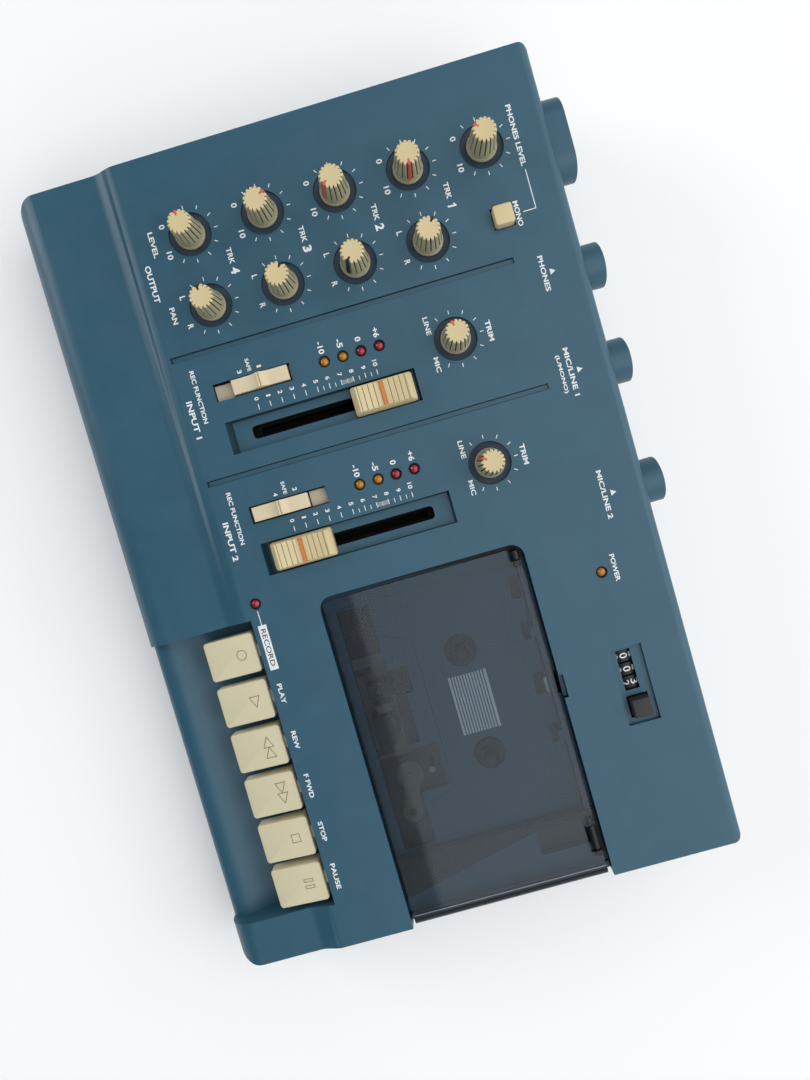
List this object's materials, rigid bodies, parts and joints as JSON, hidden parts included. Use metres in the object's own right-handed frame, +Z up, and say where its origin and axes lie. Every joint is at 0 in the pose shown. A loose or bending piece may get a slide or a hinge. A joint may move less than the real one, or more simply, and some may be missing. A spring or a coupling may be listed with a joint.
{
  "type": "four-track cassette recorder",
  "caption": "Desktop cassette recorder with rotary and fader mixer controls, six piano keys, tape counter and a hinged smoked cassette lid.",
  "frame": {"origin": "centre of the footprint, on the surface the rubber feet stand on", "axes": "+X to the right along the keys, +Y from the keys to the back sockets, +Z up"},
  "size_m": [0.308, 0.2074, 0.0647],
  "materials": {
    "case_blue": "fine-textured moulded ABS, satin",
    "case_dark": "fine-textured moulded ABS",
    "smoked": "smoked transparent acrylic",
    "well_blue": "moulded ABS",
    "cream": "satin moulded ABS",
    "black_plastic": "satin",
    "rubber": "matte",
    "steel": "zinc-plated",
    "bright_steel": "polished",
    "brass": "turned",
    "reflector": "striped foil",
    "board": "glass-fibre board, solder mask",
    "led_red": "tinted lens",
    "led_amber": "tinted lens"
  },
  "bodies": {
    "root": {"top_case": "case_blue", "bottom_case": "case_dark", "rubber_feet": "rubber", "case_screws": "steel", "lid_hinge_pins": "steel", "cassette_well": "well_blue", "tape_reflector": "reflector", "cassette_spring": "steel", "mech_chassis": "steel", "motor": "steel", "drive_belt": "rubber", "key_shaft": "steel", "counter_frame": "black_plastic", "main_board": "board", "potentiometers": "steel", "fader_units": "steel", "switch_units": "black_plastic", "red_leds": "led_red", "amber_leds": "led_amber", "jack_sockets": "black_plastic", "rca_sockets": "steel", "dc_inlet": "black_plastic"},
    "level_knob_1": {"level_knob_1": "cream"},
    "level_knob_2": {"level_knob_2": "cream"},
    "level_knob_3": {"level_knob_3": "cream"},
    "level_knob_4": {"level_knob_4": "cream"},
    "pan_knob_1": {"pan_knob_1": "cream"},
    "pan_knob_2": {"pan_knob_2": "cream"},
    "pan_knob_3": {"pan_knob_3": "cream"},
    "pan_knob_4": {"pan_knob_4": "cream"},
    "phones_knob": {"phones_knob": "cream"},
    "trim_knob_1": {"trim_knob_1": "cream"},
    "trim_knob_2": {"trim_knob_2": "cream"},
    "fader_cap_1": {"fader_cap_1": "cream"},
    "fader_cap_2": {"fader_cap_2": "cream"},
    "rec_slider_1": {"rec_slider_1": "cream"},
    "rec_slider_2": {"rec_slider_2": "cream"},
    "mono_button": {"mono_button": "cream"},
    "counter_reset_button": {"counter_reset_button": "black_plastic"},
    "record_key": {"record_key": "cream"},
    "play_key": {"play_key": "cream"},
    "rewind_key": {"rewind_key": "cream"},
    "forward_key": {"forward_key": "cream"},
    "stop_key": {"stop_key": "cream"},
    "pause_key": {"pause_key": "cream"},
    "cassette_lid": {"cassette_lid": "smoked"},
    "supply_spindle": {"supply_spindle": "black_plastic"},
    "takeup_spindle": {"takeup_spindle": "black_plastic"},
    "capstan": {"capstan_shaft": "bright_steel", "flywheel": "brass"},
    "motor_pulley": {"motor_pulley": "brass"},
    "head_bridge": {"head_bridge": "steel", "record_play_head": "bright_steel", "erase_head": "black_plastic"},
    "pinch_arm": {"pinch_arm": "steel"},
    "pinch_roller": {"pinch_roller": "rubber"},
    "counter_wheel_hundreds": {"counter_wheel_hundreds": "black_plastic"},
    "counter_wheel_tens": {"counter_wheel_tens": "black_plastic"},
    "counter_wheel_ones": {"counter_wheel_ones": "black_plastic"},
    "power_switch_slider": {"power_switch_slider": "black_plastic"}
  },
  "joints": [
    {"name": "level_knob_1_turn", "type": "hinge", "parent": "root", "child": "level_knob_1", "pos_m": [-0.122, 0.0421, 0.04829], "axis": [0, -0.0698, 0.9976], "range_deg": [-55, 245]},
    {"name": "level_knob_2_turn", "type": "hinge", "parent": "root", "child": "level_knob_2", "pos_m": [-0.122, 0.01417, 0.04634], "axis": [0, -0.0698, 0.9976], "range_deg": [-3, 297]},
    {"name": "level_knob_3_turn", "type": "hinge", "parent": "root", "child": "level_knob_3", "pos_m": [-0.122, -0.01367, 0.04439], "axis": [0, -0.0698, 0.9976], "range_deg": [-178, 122]},
    {"name": "level_knob_4_turn", "type": "hinge", "parent": "root", "child": "level_knob_4", "pos_m": [-0.122, -0.0417, 0.04243], "axis": [0, -0.0698, 0.9976], "range_deg": [-246, 54]},
    {"name": "pan_knob_1_turn", "type": "hinge", "parent": "root", "child": "pan_knob_1", "pos_m": [-0.0949, 0.0421, 0.04829], "axis": [0, -0.0698, 0.9976], "range_deg": [-202, 98]},
    {"name": "pan_knob_2_turn", "type": "hinge", "parent": "root", "child": "pan_knob_2", "pos_m": [-0.0949, 0.01417, 0.04634], "axis": [0, -0.0698, 0.9976], "range_deg": [-20, 280]},
    {"name": "pan_knob_3_turn", "type": "hinge", "parent": "root", "child": "pan_knob_3", "pos_m": [-0.0949, -0.01367, 0.04439], "axis": [0, -0.0698, 0.9976], "range_deg": [-203, 97]},
    {"name": "pan_knob_4_turn", "type": "hinge", "parent": "root", "child": "pan_knob_4", "pos_m": [-0.0949, -0.0417, 0.04243], "axis": [0, -0.0698, 0.9976], "range_deg": [-246, 54]},
    {"name": "phones_knob_turn", "type": "hinge", "parent": "root", "child": "phones_knob", "pos_m": [-0.122, 0.07013, 0.05025], "axis": [0, -0.0698, 0.9976], "range_deg": [-290, 10]},
    {"name": "trim_knob_1_turn", "type": "hinge", "parent": "root", "child": "trim_knob_1", "pos_m": [-0.0576, 0.0421, 0.04829], "axis": [0, -0.0698, 0.9976], "range_deg": [-254, 46]},
    {"name": "trim_knob_2_turn", "type": "hinge", "parent": "root", "child": "trim_knob_2", "pos_m": [-0.01, 0.0419, 0.04827], "axis": [0, -0.0698, 0.9976], "range_deg": [-300, 0]},
    {"name": "fader_slide_1", "type": "slide", "parent": "root", "child": "fader_cap_1", "axis": [0, 0.9976, 0.0698], "range_m": [-0.045, 0]},
    {"name": "fader_slide_2", "type": "slide", "parent": "root", "child": "fader_cap_2", "axis": [0, 0.9976, 0.0698], "range_m": [0, 0.045]},
    {"name": "rec_switch_1", "type": "slide", "parent": "root", "child": "rec_slider_1", "axis": [0, 0.9976, 0.0698], "range_m": [-0.006, 0]},
    {"name": "rec_switch_2", "type": "slide", "parent": "root", "child": "rec_slider_2", "axis": [0, 0.9976, 0.0698], "range_m": [0, 0.006]},
    {"name": "mono_press", "type": "slide", "parent": "root", "child": "mono_button", "axis": [0, 0.0698, -0.9976], "range_m": [0, 0.0025], "stiffness_N_per_m": 200, "springref_m": -0.003},
    {"name": "counter_reset_press", "type": "slide", "parent": "root", "child": "counter_reset_button", "axis": [0, 0.0698, -0.9976], "range_m": [0, 0.0025], "stiffness_N_per_m": 200, "springref_m": -0.003},
    {"name": "record_key_press", "type": "hinge", "parent": "root", "child": "record_key", "pos_m": [0.0785, -0.04127, 0.03344], "axis": [1, 0, 0], "range_deg": [0, 5], "stiffness_Nm_per_rad": 0.3, "springref_deg": -4.58},
    {"name": "play_key_press", "type": "hinge", "parent": "root", "child": "play_key", "pos_m": [0.0785, -0.04127, 0.03344], "axis": [1, 0, 0], "range_deg": [0, 5], "stiffness_Nm_per_rad": 0.3, "springref_deg": -4.58},
    {"name": "rewind_key_press", "type": "hinge", "parent": "root", "child": "rewind_key", "pos_m": [0.0785, -0.04127, 0.03344], "axis": [1, 0, 0], "range_deg": [0, 5], "stiffness_Nm_per_rad": 0.3, "springref_deg": -4.58},
    {"name": "forward_key_press", "type": "hinge", "parent": "root", "child": "forward_key", "pos_m": [0.0785, -0.04127, 0.03344], "axis": [1, 0, 0], "range_deg": [0, 5], "stiffness_Nm_per_rad": 0.3, "springref_deg": -4.58},
    {"name": "stop_key_press", "type": "hinge", "parent": "root", "child": "stop_key", "pos_m": [0.0785, -0.04127, 0.03344], "axis": [1, 0, 0], "range_deg": [0, 5], "stiffness_Nm_per_rad": 0.3, "springref_deg": -4.58},
    {"name": "pause_key_press", "type": "hinge", "parent": "root", "child": "pause_key", "pos_m": [0.0785, -0.04127, 0.03344], "axis": [1, 0, 0], "range_deg": [0, 5], "stiffness_Nm_per_rad": 0.3, "springref_deg": -4.58},
    {"name": "lid_hinge", "type": "hinge", "parent": "root", "child": "cassette_lid", "pos_m": [0.0785, 0.04184, 0.04627], "axis": [-1, 0, 0], "range_deg": [0, 85]},
    {"name": "supply_spin", "type": "hinge", "parent": "root", "child": "supply_spindle", "pos_m": [0.05725, 0.01287, 0.03622], "axis": [0, -0.0698, 0.9976], "continuous": true},
    {"name": "takeup_spin", "type": "hinge", "parent": "root", "child": "takeup_spindle", "pos_m": [0.09975, 0.01287, 0.03622], "axis": [0, -0.0698, 0.9976], "continuous": true},
    {"name": "capstan_spin", "type": "hinge", "parent": "root", "child": "capstan", "pos_m": [0.098, -0.00958, 0.02463], "axis": [0, -0.0698, 0.9976], "continuous": true},
    {"name": "motor_spin", "type": "hinge", "parent": "root", "child": "motor_pulley", "pos_m": [0.046, -0.00268, 0.01208], "axis": [0, -0.0698, 0.9976], "continuous": true},
    {"name": "head_bridge_slide", "type": "slide", "parent": "root", "child": "head_bridge", "axis": [0, 0.9976, 0.0698], "range_m": [0, 0.0039]},
    {"name": "pinch_arm_swing", "type": "hinge", "parent": "root", "child": "pinch_arm", "pos_m": [0.116, -0.02282, 0.02771], "axis": [0, -0.0698, 0.9976], "range_deg": [-6.8, 0]},
    {"name": "pinch_roller_spin", "type": "hinge", "parent": "pinch_arm", "child": "pinch_roller", "pos_m": [0.098, -0.01925, 0.03397], "axis": [0, -0.0698, 0.9976], "continuous": true},
    {"name": "counter_hundreds_spin", "type": "hinge", "parent": "root", "child": "counter_wheel_hundreds", "pos_m": [0.074, 0.07134, 0.04231], "axis": [1, 0, 0], "continuous": true},
    {"name": "counter_tens_spin", "type": "hinge", "parent": "root", "child": "counter_wheel_tens", "pos_m": [0.0792, 0.07134, 0.04231], "axis": [1, 0, 0], "continuous": true},
    {"name": "counter_ones_spin", "type": "hinge", "parent": "root", "child": "counter_wheel_ones", "pos_m": [0.0844, 0.07134, 0.04231], "axis": [1, 0, 0], "continuous": true},
    {"name": "power_switch_slide", "type": "slide", "parent": "root", "child": "power_switch_slider", "axis": [1, 0, 0], "range_m": [0, 0.005]}
  ],
  "couplings": [
    {"joint": "play_key_press", "follows": "head_bridge_slide", "rad_per_m": 22.37},
    {"joint": "pinch_arm_swing", "follows": "head_bridge_slide", "rad_per_m": -30.2},
    {"joint": "motor_spin", "follows": "capstan_spin", "ratio": 5},
    {"joint": "pinch_roller_spin", "follows": "capstan_spin", "ratio": -0.21818},
    {"joint": "counter_ones_spin", "follows": "takeup_spin", "ratio": 0.05},
    {"joint": "counter_tens_spin", "follows": "takeup_spin", "ratio": 0.005},
    {"joint": "counter_hundreds_spin", "follows": "takeup_spin", "ratio": 0.0005}
  ]
}
